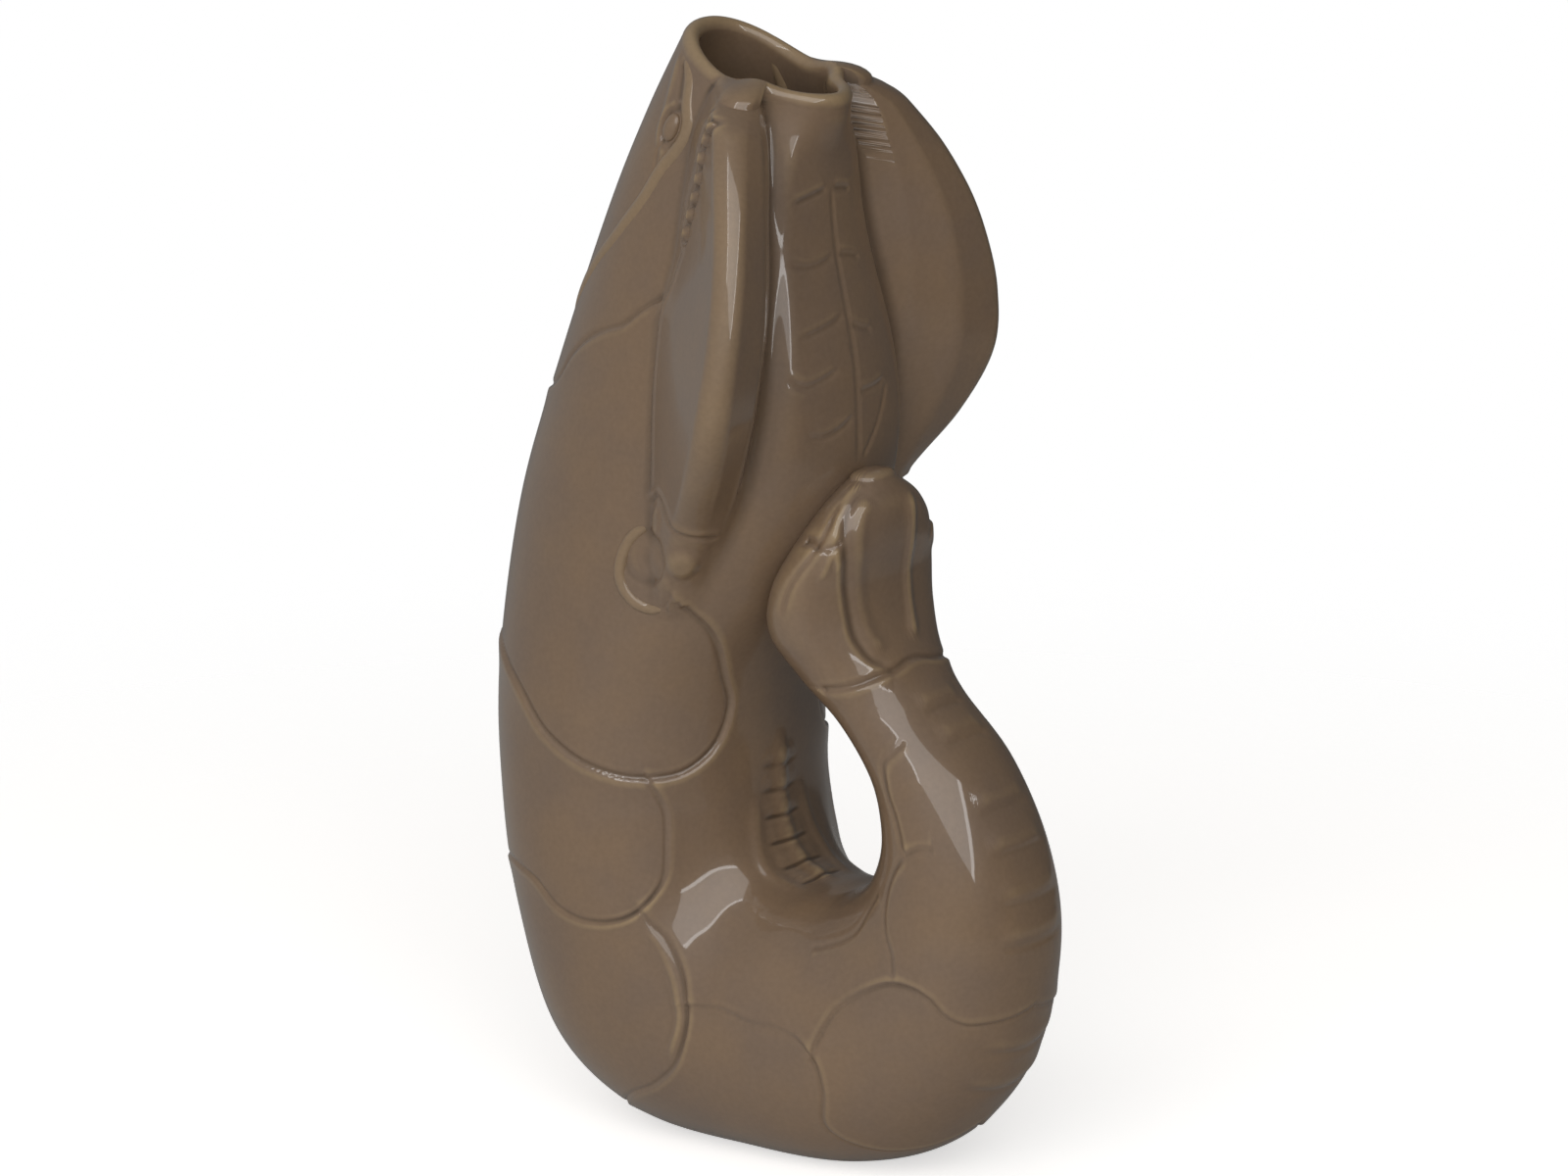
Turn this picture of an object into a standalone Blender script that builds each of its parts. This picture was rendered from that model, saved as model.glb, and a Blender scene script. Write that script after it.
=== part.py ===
"""Lobster vase in glazed slip-cast earthenware, built from the castings that are luted together.

The lobster stands head up. Its back is on the -X side, its belly on the +X side, and its tail
curls forward under the belly and up again, which leaves a finger hole and makes a handle. The
open top of the head, between the two raised claws, is the mouth of the vase. Lengths are in
metres, +Z is up, the table is at Z = 0, and the vase is symmetric about the plane Y = 0.
"""
import math

import bmesh
import bpy
import numpy as np

# Driving sizes of the whole vase
vase_depth = 0.1585      # from the back to the tail
vase_width = 0.1162      # across the raised claws
vase_height = 0.2866     # up to the back of the mouth, under the rim's roll

# Clay
wall = 0.0034            # thickness of the cast wall
lip_width = 0.0044       # thickness of the wall at the rounded rim
floor_thickness = 0.0040
luting_gap = 0.0003      # slip joint between two castings
section_power = 2.15     # more than the ellipse's 2 is squarer
ellipse = 2.0

# The hollow tube that is head, body and tail. Each station is a flat cut across the tube from
# its back line to its belly line: back x, back z, belly x, belly z, half width
stations = (
    (-0.0233, 0.2866, 0.0200, 0.2700, 0.0190),
    (-0.0350, 0.2650, 0.0186, 0.2540, 0.0235),
    (-0.0455, 0.2410, 0.0200, 0.2350, 0.0280),
    (-0.0595, 0.2020, 0.0268, 0.2000, 0.0360),
    (-0.0710, 0.1640, 0.0240, 0.1640, 0.0420),
    (-0.0755, 0.1220, 0.0045, 0.1240, 0.0445),
    (-0.0745, 0.0880, 0.0015, 0.0980, 0.0450),
    (-0.0685, 0.0540, 0.0030, 0.0830, 0.0455),
    (-0.0555, 0.0180, 0.0080, 0.0745, 0.0440),
    (-0.0300, 0.0005, 0.0150, 0.0710, 0.0410),
    (0.0050, -0.0020, 0.0220, 0.0705, 0.0380),
    (0.0350, 0.0000, 0.0280, 0.0705, 0.0345),
    (0.0590, 0.0100, 0.0340, 0.0740, 0.0305),
    (0.0760, 0.0310, 0.0385, 0.0800, 0.0270),
    (0.0830, 0.0600, 0.0410, 0.0880, 0.0245),
    (0.0795, 0.0850, 0.0405, 0.0960, 0.0225),
    (0.0680, 0.1080, 0.0370, 0.1050, 0.0205),
    (0.0525, 0.1240, 0.0275, 0.1160, 0.0190),
)
tail_joint = 11.6        # station where the tail casting starts
fan_joint = len(stations) - 1
rim_dip = 0.0045         # how far the rim sinks beside the claws

# The tail fan, from the tail's end up to its tip: the same kind of cut, outer line first
fan_stations = (
    (0.0525, 0.1240, 0.0275, 0.1160, 0.0190),
    (0.0440, 0.1330, 0.0170, 0.1270, 0.0225),
    (0.0385, 0.1430, 0.0100, 0.1390, 0.0275),
    (0.0370, 0.1530, 0.0115, 0.1510, 0.0280),
    (0.0385, 0.1630, 0.0165, 0.1620, 0.0240),
    (0.0385, 0.1720, 0.0215, 0.1715, 0.0160),
    (0.0350, 0.1780, 0.0260, 0.1780, 0.0070),
)
fan_tip_height = 0.0022
telson_width = 0.0230    # the middle plate of the fan
fan_meets_belly = 3      # fan station from where its inner side lies against the belly

# A claw's flat cut is drawn tight round three circles, each x, y, radius, after the height:
# the root in the body, the crest and the bulge in front
claw_stations = (
    (0.1460, -0.0080, 0.0330, 0.0050, -0.0060, 0.0345, 0.0040, -0.0060, 0.0330, 0.0050),
    (0.1580, -0.0050, 0.0328, 0.0080, 0.0005, 0.0370, 0.0048, -0.0015, 0.0335, 0.0062),
    (0.1690, -0.0044, 0.0307, 0.0100, 0.0065, 0.0412, 0.0042, 0.0025, 0.0340, 0.0085),
    (0.1840, -0.0026, 0.0277, 0.0125, 0.0165, 0.0497, 0.0034, 0.0065, 0.0355, 0.0095),
    (0.2000, -0.0024, 0.0243, 0.0140, 0.0237, 0.0550, 0.0031, 0.0110, 0.0365, 0.0095),
    (0.2160, -0.0039, 0.0220, 0.0130, 0.0260, 0.0542, 0.0028, 0.0135, 0.0355, 0.0090),
    (0.2300, -0.0019, 0.0202, 0.0115, 0.0252, 0.0507, 0.0027, 0.0145, 0.0340, 0.0080),
    (0.2450, -0.0022, 0.0187, 0.0095, 0.0221, 0.0456, 0.0026, 0.0140, 0.0315, 0.0068),
    (0.2560, -0.0021, 0.0178, 0.0080, 0.0180, 0.0401, 0.0030, 0.0130, 0.0280, 0.0055),
    (0.2680, -0.0015, 0.0178, 0.0050, 0.0124, 0.0323, 0.0036, 0.0110, 0.0250, 0.0040),
    (0.2800, 0.0010, 0.0185, 0.0045, 0.0078, 0.0270, 0.0038, 0.0070, 0.0230, 0.0040),
)
claw_fullness = 0.055        # how much the side between crest and front swells, as a share of its length
claw_tip_height = 0.0050     # round end above the last cut
wrist_top = 0.1672           # where the arm ends and the claw sits on it
claw_hollow_top = 0.2500     # the claw is cast hollow up to here
claw_core_round = 0.0010     # the hollow's edge behind the crest

# The cuts give the shape, and are stretched to the driving sizes
deepen = vase_depth / float(np.ptp([cut[0] for cut in stations]))
widen = vase_width / max(2 * (cut[5] + cut[6]) for cut in claw_stations)
heighten = vase_height / stations[0][1]
stations = np.array(stations) * (deepen, heighten, deepen, heighten, widen)
fan_stations = np.array(fan_stations) * (deepen, heighten, deepen, heighten, widen)
claw_stations = np.array(claw_stations) * ((heighten,) + (deepen, widen, widen) * 3)
wrist_top *= heighten
claw_hollow_top *= heighten

# Sprigs on the body, each point as station and degrees round from the belly
elbow_path = ((3.91, 73.0), (4.02, 77.5), (4.16, 79.7), (4.28, 78.8), (4.36, 75.5),
              (4.44, 70.8), (4.47, 66.0), (4.45, 59.0))
elbow_rod_radius = 0.0017
eye_center = (0.85, 110.0)
eye_width = 0.0046
eye_length = 0.0060
eye_height = 0.0022
antenna_path = ((0.30, 116.5), (0.68, 101.0), (0.91, 98.5), (1.30, 105.5), (1.72, 112.0),
                (2.09, 124.3), (2.38, 138.7), (2.80, 152.0))
antenna_radius = 0.0013

# Cutters
seat_end = 9.0               # station just past the last piece that sits on the body
above_rim = 0.0200           # the seat's cutter runs on this far over the rim
core_overlap = 0.0040        # the fan's hollow opens this far into the tail
fan_reach = 0.0500           # the telson's cutter runs on this far round the fan

# How finely the castings are cut
columns = 40
body_rows = 33
inner_rows = 23
tail_columns = 32
tail_rows = 15
lip_rows = 4
fan_columns = 28
fan_rows = 11
claw_rows = 13
wrist_rows = 5
claw_turns = 4
seat_rows = 31
path_steps = 3
tip_turns = np.radians([30.0, 55.0, 75.0])
probe = 0.02                 # step of station and angle for a surface direction


def spline(knots, values, at):
    """Smooth curve through the values, its slope at a knot taken from both neighbours."""
    knots = np.asarray(knots, float)
    values = np.asarray(values, float)
    at = np.clip(np.asarray(at, float), knots[0], knots[-1])
    slopes = np.gradient(values, knots, axis=0)
    low = np.clip(np.searchsorted(knots, at, side="right") - 1, 0, len(knots) - 2)
    span = knots[low + 1] - knots[low]
    t = (at - knots[low]) / span
    if values.ndim > 1:
        t = t[..., None]
        span = span[..., None]
    start = (1 + 2 * t) * (1 - t) ** 2 * values[low] + t * (1 - t) ** 2 * span * slopes[low]
    end = t ** 2 * (3 - 2 * t) * values[low + 1] - t ** 2 * (1 - t) * span * slopes[low + 1]
    return start + end


def cut_frame(table, station):
    """Middle, direction from back to belly, half depth and half width of a cut."""
    cut = spline(range(len(table)), table, station)
    middle = (cut[..., 0:2] + cut[..., 2:4]) / 2
    across = (cut[..., 2:4] - cut[..., 0:2]) / 2
    depth = np.linalg.norm(across, axis=-1)
    return middle, across / depth[..., None], depth, cut[..., 4]


def place(middle, across, angle, radius):
    """Point of a cut at a radius and an angle round its middle, angle 0 towards the belly."""
    out = radius * np.cos(angle)
    x = middle[..., 0] + across[..., 0] * out
    z = middle[..., 1] + across[..., 1] * out
    return np.stack([x, radius * np.sin(angle), z], axis=-1)


def oval_radius(angle, depth, width, power=section_power):
    return ((np.abs(np.cos(angle)) / depth) ** power
            + (np.abs(np.sin(angle)) / width) ** power) ** (-1 / power)


def skin(station, angle, inset=0.0):
    """Point of the tube's outer surface, or that much further in."""
    station, angle, inset = np.broadcast_arrays(station, angle, inset)
    middle, across, depth, width = cut_frame(stations, station)
    point = place(middle, across, angle, oval_radius(angle, depth - inset, width - inset))
    point[..., 2] -= rim_dip * np.sin(angle) ** 2 * np.clip(1 - station, 0, 1) ** 2
    return point


def ring_angles(count):
    return np.linspace(-math.pi, math.pi, count, endpoint=False)


def along_tube(station):
    """Unit vector square to a cut, towards the next station."""
    across = cut_frame(stations, float(station))[1]
    return np.array([across[1], 0.0, -across[0]])


def above_floor(points, height):
    points[..., 2] = np.maximum(points[..., 2], height)
    return points


def mesh_object(name, points, faces, collection):
    mesh = bpy.data.meshes.new(name)
    mesh.from_pydata([tuple(point) for point in points], [], faces)
    shape = bmesh.new()
    shape.from_mesh(mesh)
    bmesh.ops.recalc_face_normals(shape, faces=shape.faces)
    shape.to_mesh(mesh)
    shape.free()
    part = bpy.data.objects.new(name, mesh)
    collection.objects.link(part)
    part.parent = stand
    return part


def loft(name, rows, collection, ends="cap"):
    """Closed body through rings of points: capped at both ends, or joined end to end."""
    rows = np.asarray(rows)
    count, turns = rows.shape[:2]
    faces = []
    steps = count if ends == "join" else count - 1
    for i in range(steps):
        a, b = i * turns, (i + 1) % count * turns
        for j in range(turns):
            k = (j + 1) % turns
            faces.append((a + j, a + k, b + k, b + j))
    if ends == "cap":
        faces.append(tuple(range(turns)))
        faces.append(tuple(range((count - 1) * turns, count * turns)))
    return mesh_object(name, rows.reshape(-1, 3), faces, collection)


def make_vessel_body():
    angle = ring_angles(columns)
    outer = skin(np.linspace(tail_joint, 0, body_rows)[:, None], angle)
    outer = above_floor(outer, 0.0)
    upward = -along_tube(0)
    turn = np.linspace(0, math.pi, lip_rows + 2)[1:-1, None]
    lip = skin(0.0, angle, lip_width / 2 * (1 - np.cos(turn)))
    lip = lip + upward * (lip_width / 2 * np.sin(turn))[..., None]
    inner_stations = np.linspace(0, tail_joint, inner_rows)[:, None]
    inset = wall + (lip_width - wall) * np.clip(1 - inner_stations, 0, 1)
    inner = above_floor(skin(inner_stations, angle, inset), floor_thickness)
    return loft("vessel_body", np.concatenate([outer, lip, inner]), parts, ends="join")


def make_tail_handle():
    angle = ring_angles(tail_columns)
    station = np.linspace(tail_joint, fan_joint, tail_rows)[:, None]
    outer = above_floor(skin(station, angle), 0.0)
    inner = above_floor(skin(station, angle, wall), floor_thickness)
    rows = np.concatenate([outer, inner[::-1]])
    step = along_tube(tail_joint) * luting_gap
    rows[0] += step
    rows[-1] += step
    return loft("tail_handle", rows, parts, ends="join")


def fan_rings(inset, start):
    """Rings of the fan, from a start that far past its joint with the tail up to its tip."""
    angle = ring_angles(fan_columns)
    station = np.linspace(0, len(fan_stations) - 1, fan_rows)[:, None]
    middle, across, depth, width = cut_frame(fan_stations, station)
    depth, width = depth - inset, width - inset
    plates = place(middle, across, angle, oval_radius(angle, depth, width, ellipse))
    shrink = np.cos(tip_turns)[:, None]
    crown = place(middle[-1], across[-1], angle, oval_radius(
        angle, depth[-1] * shrink, width[-1] * shrink, ellipse))
    crown[..., 2] += fan_tip_height * np.sin(tip_turns)[:, None]
    rows = np.concatenate([plates, crown])
    rows[0] += along_tube(fan_joint) * start
    return rows


def tangent_angle(a, b):
    """Direction from circle a's middle to where the straight side to circle b leaves it."""
    reach = b[0:2] - a[0:2]
    lean = math.asin(np.clip((a[2] - b[2]) / np.linalg.norm(reach), -0.95, 0.95))
    return math.atan2(reach[1], reach[0]) - math.pi / 2 + lean


def claw_outline(height, inset):
    """Flat cut of a claw, that much further in: its three circles and a fourth, the swell between
    crest and front, joined by straight sides."""
    root, crest, front = spline(claw_stations[:, 0], claw_stations[:, 1:], height).reshape(3, 3)
    reach = front[0:2] - crest[0:2]
    swell = (crest + front) / 2 + claw_fullness * np.array([-reach[1], reach[0], np.linalg.norm(reach)])
    core_radius = max(crest[2] - inset, claw_core_round)
    along = (root[2] - inset - core_radius) / (root[2] - crest[2])
    crest = np.array([*(root[0:2] + (crest[0:2] - root[0:2]) * along), core_radius])
    root = root - [0.0, 0.0, inset]
    front = front - [0.0, 0.0, inset]
    swell = swell - [0.0, 0.0, inset]
    points = []
    for before, circle, after in ((swell, crest, root), (crest, root, front),
                                  (root, front, swell), (front, swell, crest)):
        start = tangent_angle(before, circle)
        turn = (tangent_angle(circle, after) - start) % (2 * math.pi)
        angle = start + np.linspace(0, turn, claw_turns)
        points.append(circle[0:2] + circle[2] * np.stack([np.cos(angle), np.sin(angle)], -1))
    points = np.concatenate(points)
    return np.column_stack([points, np.full(len(points), height)])


def claw_rings(low, high, inset, side, count, tip_height=0.0):
    rows = [claw_outline(height, inset) for height in np.linspace(low, high, count)]
    middle = rows[-1].mean(axis=0)
    if tip_height:
        for turn in tip_turns:
            ring = middle + (rows[count - 1] - middle) * math.cos(turn)
            ring[:, 2] += tip_height * math.sin(turn)
            rows.append(ring)
    rows = np.array(rows)
    rows[..., 1] *= side
    return rows


def surface_frame(station, degrees, side):
    """Point of the tube's surface, with its directions along, round and out of the tube."""
    angle = side * math.radians(degrees)
    point = skin(station, angle)
    along = skin(station + probe, angle) - skin(station - probe, angle)
    turned = skin(station, angle + probe) - skin(station, angle - probe)
    along /= np.linalg.norm(along)
    outward = np.cross(turned, along)
    outward /= np.linalg.norm(outward)
    middle = cut_frame(stations, float(station))[0]
    away = point - np.array([middle[0], 0.0, middle[1]])
    if np.dot(outward, away) < 0:
        outward = -outward
    return point, along, np.cross(outward, along), outward


def dome(name, center, side, length, width, height, segments, rings):
    """Flattened ball set on the tube's surface, its lower half inside the wall."""
    point, along, turned, outward = surface_frame(center[0], center[1], side)
    shape = bmesh.new()
    bmesh.ops.create_uvsphere(shape, u_segments=segments, v_segments=rings, radius=1.0)
    for vertex in shape.verts:
        x, y, z = vertex.co
        vertex.co = point + along * x * length / 2 + turned * y * width / 2 + outward * z * height
    bmesh.ops.recalc_face_normals(shape, faces=shape.faces)
    mesh = bpy.data.meshes.new(name)
    shape.to_mesh(mesh)
    shape.free()
    part = bpy.data.objects.new(name, mesh)
    parts.objects.link(part)
    part.parent = stand
    return part


def rod_on_skin(name, path, side, radius):
    """Round rod laid along a path on the tube's surface, half of it inside the wall."""
    path = np.array(path)
    at = np.linspace(0, len(path) - 1, path_steps * len(path))
    station = spline(range(len(path)), path[:, 0], at)
    angle = side * np.radians(spline(range(len(path)), path[:, 1], at))
    line = skin(station, angle)
    curve = bpy.data.curves.new(name, "CURVE")
    curve.dimensions = "3D"
    curve.bevel_depth = radius
    curve.bevel_resolution = 1
    curve.use_fill_caps = True
    spline_points = curve.splines.new("POLY")
    spline_points.points.add(len(line) - 1)
    for target, point in zip(spline_points.points, line):
        target.co = (*point, 1.0)
    guide = bpy.data.objects.new(name + "_path", curve)
    parts.objects.link(guide)
    bpy.context.view_layer.update()
    mesh = bpy.data.meshes.new_from_object(
        guide.evaluated_get(bpy.context.evaluated_depsgraph_get()))
    bpy.data.objects.remove(guide)
    shape = bmesh.new()
    shape.from_mesh(mesh)
    bmesh.ops.remove_doubles(shape, verts=shape.verts, dist=1e-6)
    bmesh.ops.recalc_face_normals(shape, faces=shape.faces)
    shape.to_mesh(mesh)
    shape.free()
    mesh.name = name
    part = bpy.data.objects.new(name, mesh)
    parts.objects.link(part)
    part.parent = stand
    return part


def prism_cutter(name, profile, low_y, high_y):
    """Everything between two planes of constant Y, inside an outline of x and z."""
    rows = [[(x, y, z) for x, z in profile] for y in (low_y, high_y)]
    return as_cutter(loft(name, rows, cutters))


def as_cutter(cutter):
    cutter.hide_render = True
    cutter.display_type = "WIRE"
    return cutter


def cut_with(part, cutter, operation="DIFFERENCE"):
    modifier = part.modifiers.new(cutter.name, "BOOLEAN")
    modifier.operation = operation
    modifier.object = cutter


def glaze(part, name, color):
    material = bpy.data.materials.new(name)
    material.use_nodes = True
    shader = material.node_tree.nodes["Principled BSDF"]
    shader.inputs["Base Color"].default_value = (*color, 1.0)
    shader.inputs["Roughness"].default_value = 0.15
    shader.inputs["Metallic"].default_value = 0.0
    part.data.materials.clear()
    part.data.materials.append(material)
    part.data.shade_smooth()
    part.data.set_sharp_from_angle(angle=math.radians(40))


for old in list(bpy.data.objects):
    bpy.data.objects.remove(old)
scene = bpy.context.scene
parts = bpy.data.collections.new("lobster_vase")
cutters = bpy.data.collections.new("cutters")
scene.collection.children.link(parts)
scene.collection.children.link(cutters)
stand = bpy.data.objects.new("vase_origin", None)
parts.objects.link(stand)

# The body's outside, wider by the slip joint, cuts the seat of each piece luted onto it
seat_rings = skin(np.linspace(0, seat_end, seat_rows)[:, None], ring_angles(columns), -luting_gap)
over_rim = seat_rings[:1] - along_tube(0) * above_rim
seat = as_cutter(loft("body_seat", np.concatenate([over_rim, seat_rings]), cutters))

body = make_vessel_body()
glaze(body, "glazed_body", (0.21, 0.15, 0.105))
tail = make_tail_handle()
glaze(tail, "glazed_tail", (0.21, 0.15, 0.105))

# The fan is one hollow form. The telson is its outer middle plate, down to the form's middle line
# and over the tip, and the uropods are the rest, which meet under it at the plane Y = 0
fan_core = as_cutter(loft("fan_core", fan_rings(wall, -core_overlap), cutters))
middle_line = cut_frame(fan_stations, np.arange(fan_meets_belly + 1.0))[0]
below = middle_line[0] - along_tube(fan_joint)[[0, 2]] * fan_reach
inner = [(middle_line[0][0] - fan_reach, z) for z in (middle_line[-1][1], fan_stations[-1][1] + fan_reach)]
outer = [(middle_line[0][0] + fan_reach, z) for z in (inner[1][1], below[1])]
telson_side = [below, *middle_line, *inner, *outer]
edge = telson_width / 2
telson_band = prism_cutter("telson_band", telson_side, -edge, edge)
gap_band = prism_cutter("gap_band", telson_side, -edge - luting_gap, edge + luting_gap)
everything = [(-1.0, -1.0), (-1.0, 1.0), (1.0, 1.0), (1.0, -1.0)]
left_half = prism_cutter("left_half", everything, luting_gap / 2, 1.0)
right_half = prism_cutter("right_half", everything, -1.0, -luting_gap / 2)
for name, half in (("telson", None), ("uropod_left", left_half), ("uropod_right", right_half)):
    plate = loft(name, fan_rings(0.0, luting_gap), parts)
    glaze(plate, "glazed_" + name, (0.20, 0.145, 0.10))
    if not half:
        cut_with(plate, telson_band, "INTERSECT")
    cut_with(plate, fan_core)
    cut_with(plate, seat)
    if half:
        cut_with(plate, gap_band)
        cut_with(plate, half, "INTERSECT")

for word, side in (("left", 1), ("right", -1)):
    claw = loft("claw_" + word, claw_rings(
        wrist_top + luting_gap, claw_stations[-1][0], 0.0, side, claw_rows, claw_tip_height), parts)
    hollow = as_cutter(loft("claw_core_" + word, claw_rings(
        wrist_top + wall, claw_hollow_top, wall, side, claw_rows), cutters))
    glaze(claw, "glazed_claw_" + word, (0.22, 0.16, 0.11))
    cut_with(claw, hollow)
    cut_with(claw, seat)

    wrist = loft("wrist_" + word, claw_rings(
        claw_stations[0][0], wrist_top, 0.0, side, wrist_rows), parts)
    glaze(wrist, "glazed_wrist_" + word, (0.21, 0.15, 0.105))
    cut_with(wrist, seat)

    elbow = rod_on_skin("elbow_ring_" + word, elbow_path, side, elbow_rod_radius)
    glaze(elbow, "glazed_elbow_ring_" + word, (0.21, 0.15, 0.105))
    cut_with(elbow, seat)

    eye = dome("eye_" + word, eye_center, side, eye_length, eye_width, eye_height, 14, 8)
    glaze(eye, "glazed_eye_" + word, (0.24, 0.18, 0.13))
    cut_with(eye, seat)

    antenna = rod_on_skin("antenna_" + word, antenna_path, side, antenna_radius)
    glaze(antenna, "glazed_antenna_" + word, (0.22, 0.16, 0.11))
    cut_with(antenna, seat)

# Stand the vase over the origin
bpy.context.view_layer.update()
scene_graph = bpy.context.evaluated_depsgraph_get()
reach = []
for part in parts.objects:
    if part.type == "MESH":
        reach += [vertex.co.x for vertex in part.evaluated_get(scene_graph).data.vertices]
stand.location.x = -(min(reach) + max(reach)) / 2
bpy.context.view_layer.update()
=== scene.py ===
import bpy
import numpy as np
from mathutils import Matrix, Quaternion, Vector


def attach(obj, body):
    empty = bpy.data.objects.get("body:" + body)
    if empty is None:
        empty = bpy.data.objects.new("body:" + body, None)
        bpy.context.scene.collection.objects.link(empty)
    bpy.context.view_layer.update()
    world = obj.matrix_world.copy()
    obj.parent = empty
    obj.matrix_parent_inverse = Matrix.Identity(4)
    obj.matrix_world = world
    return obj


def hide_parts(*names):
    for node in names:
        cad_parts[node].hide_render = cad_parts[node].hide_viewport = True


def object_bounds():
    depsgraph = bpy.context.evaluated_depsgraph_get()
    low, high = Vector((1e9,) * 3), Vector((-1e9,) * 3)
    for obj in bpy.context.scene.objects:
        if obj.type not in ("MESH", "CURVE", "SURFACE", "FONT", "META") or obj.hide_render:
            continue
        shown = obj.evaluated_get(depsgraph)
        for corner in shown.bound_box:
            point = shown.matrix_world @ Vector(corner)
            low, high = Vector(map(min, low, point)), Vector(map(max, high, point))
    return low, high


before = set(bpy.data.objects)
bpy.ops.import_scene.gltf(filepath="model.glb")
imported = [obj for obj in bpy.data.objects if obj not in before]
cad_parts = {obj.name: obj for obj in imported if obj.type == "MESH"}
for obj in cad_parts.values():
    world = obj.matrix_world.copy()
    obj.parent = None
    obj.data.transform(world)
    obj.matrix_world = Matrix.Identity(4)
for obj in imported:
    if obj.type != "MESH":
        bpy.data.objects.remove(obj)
frameLow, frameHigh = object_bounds()
print("frame loaded")

mm = 0.001

# The hollow form: head, body, tail and tail fan are one bent tube. Each row is a flat cut across it:
# back x, back z, belly x, belly z, half width, in metres, x counted from the middle of the mouth
vessel = {
    "stations": (
        (-0.0235, 0.2880, 0.0200, 0.2715, 0.0190),   # mouth
        (-0.0350, 0.2650, 0.0186, 0.2540, 0.0235),
        (-0.0455, 0.2410, 0.0200, 0.2350, 0.0280),
        (-0.0595, 0.2020, 0.0268, 0.2000, 0.0360),
        (-0.0710, 0.1640, 0.0240, 0.1640, 0.0420),   # chest
        (-0.0755, 0.1220, 0.0045, 0.1240, 0.0445),
        (-0.0745, 0.0880, 0.0015, 0.0980, 0.0450),
        (-0.0685, 0.0540, 0.0030, 0.0830, 0.0455),
        (-0.0555, 0.0180, 0.0080, 0.0745, 0.0440),
        (-0.0300, 0.0005, 0.0150, 0.0710, 0.0410),   # foot
        (0.0050, -0.0020, 0.0220, 0.0705, 0.0380),
        (0.0350, 0.0000, 0.0280, 0.0705, 0.0345),
        (0.0590, 0.0100, 0.0340, 0.0740, 0.0305),
        (0.0760, 0.0310, 0.0385, 0.0800, 0.0270),
        (0.0830, 0.0600, 0.0410, 0.0880, 0.0245),    # tail
        (0.0795, 0.0850, 0.0405, 0.0960, 0.0225),
        (0.0680, 0.1080, 0.0370, 0.1050, 0.0205),
        (0.0525, 0.1240, 0.0275, 0.1160, 0.0190),
        (0.0440, 0.1330, 0.0170, 0.1270, 0.0225),    # fan
        (0.0385, 0.1430, 0.0100, 0.1390, 0.0275),
        (0.0370, 0.1530, 0.0115, 0.1510, 0.0280),
        (0.0385, 0.1630, 0.0165, 0.1620, 0.0240),
        (0.0385, 0.1720, 0.0215, 0.1715, 0.0160),
        (0.0350, 0.1780, 0.0260, 0.1780, 0.0070),
    ),
    "roundness": 2.15,        # 2 is an ellipse, more is squarer
    "rimStation": 0.08,
    "rimWidth": 0.0046,
    "rimHeight": 0.0027,
    "knobHeight": 0.0014,     # how far a claw's tip stands over the rim
    "knobAngle": 62.0,
    "knobSpan": 16.0,
    "rimDip": 0.0045,
    "wall": 0.0034,
    "tipHeight": 0.0022,
    "tailJoint": 11.6,        # station where the tail casting starts
    "hollowEnd": 16.6,        # station where the hollow ends
    "hollowLow": 0.004,       # lowest point of the hollow over the table
    "notch": {"station": 21.24, "degrees": 88.0, "length": 0.13, "spread": 0.22, "depth": 0.05},
    "rowStep": 0.0006,
    "rimDense": 2.5,          # at the rim the rows lie closer by this and one
    "denseFade": (0.12, 0.45),
    "columns": 262,           # across half the tube
    "rimRows": 15,
    "innerRows": 80,
    "tipRows": 8,
}

# How the mouth and the belly below it leave the plain oval: spans in degrees, fades in stations
mouth = {
    "corner": 0.0010,         # the belly line stands out this far, in a soft corner
    "cornerSpan": 13.0,
    "narrow": 0.0022,         # beside the corner the mouth draws in
    "narrowAngle": 40.0,
    "narrowSpan": 17.0,
    "fade": (0.1, 1.3),
    "clawKeep": 0.40,         # share of the rim's dip that the claws don't follow
    "clawSpan": 24.0,
    "bellyFlat": 0.5,         # 0 is round, 1 is flat
    "bellySink": 0.002,
    "flatSides": (24.0, 42.0),
    "flatStart": (0.2, 0.9),
    "flatEnd": (3.2, 4.1),
}

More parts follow.
